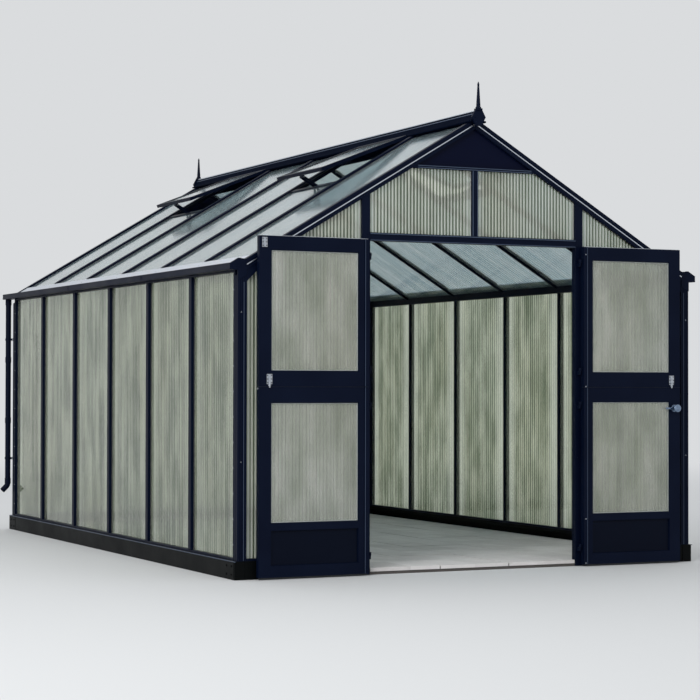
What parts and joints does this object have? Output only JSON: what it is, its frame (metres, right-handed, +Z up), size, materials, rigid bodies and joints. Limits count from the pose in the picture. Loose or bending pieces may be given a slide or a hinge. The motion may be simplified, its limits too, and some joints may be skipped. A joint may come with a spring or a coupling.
{
  "type": "polycarbonate greenhouse",
  "caption": "Gabled greenhouse of twin-wall sheets in a dark metal frame, with a double stable door, open roof vents, gutters and ridge finials.",
  "frame": {"origin": "middle of the footprint at ground level, on the underside of the middle floor slab", "axes": "+Z up, +Y from the door gable to the back gable, +X to the right seen from the door"},
  "size_m": [3.0804, 4.5969, 2.82],
  "materials": {
    "frame": "dark blue-black powder coat, satin",
    "base": "black powder coat, satin",
    "wall_sheet": "twin-wall polycarbonate, cloudy",
    "roof_sheet": "twin-wall polycarbonate, cloudy, pale mint",
    "mill": "mill finish",
    "zinc": "zinc plated",
    "knob": "polished",
    "slab": "pale concrete slab"
  },
  "bodies": {
    "frame": {"base_rails": "base", "floor_slabs": "slab", "sill_rails": "frame", "corner_posts": "frame", "side_posts": "frame", "wall_sheets": "wall_sheet", "eave_rails": "frame", "gutters": "frame", "downpipes": "frame", "downpipe_clips": "frame", "gable_rafters": "frame", "corner_gussets": "frame", "door_posts": "frame", "door_header": "frame", "front_mullion": "frame", "gable_strip_rails": "frame", "gable_infill_panels": "frame", "front_gable_sheets": "wall_sheet", "back_posts": "frame", "back_transoms": "frame", "back_gable_sheets": "wall_sheet", "roof_bars": "frame", "roof_sheets": "roof_sheet", "eave_trims": "mill", "ridge_beam": "frame", "ridge_cap": "frame", "ridge_finials": "frame", "vent_cross_bars": "frame", "vent_frames": "frame", "vent_panes": "roof_sheet", "vent_openers": "zinc", "door_hinge_brackets": "frame"},
    "door_left": {"door_left_upper_frame": "frame", "door_left_lower_frame": "frame", "door_left_panes": "wall_sheet", "door_left_kick_panel": "frame", "door_left_hinges": "frame", "door_left_catches": "zinc"},
    "door_right": {"door_right_upper_frame": "frame", "door_right_lower_frame": "frame", "door_right_panes": "wall_sheet", "door_right_kick_panel": "frame", "door_right_hinges": "frame", "door_right_catches": "zinc", "door_right_handle": "knob"}
  },
  "joints": [
    {"name": "door_left_hinge", "type": "hinge", "parent": "frame", "child": "door_left", "pos_m": [-0.69, -2.225, 0.95], "axis": [0, 0, 1], "range_deg": [0, 179]},
    {"name": "door_right_hinge", "type": "hinge", "parent": "frame", "child": "door_right", "pos_m": [0.69, -2.225, 0.95], "axis": [0, 0, -1], "range_deg": [0, 179]}
  ]
}
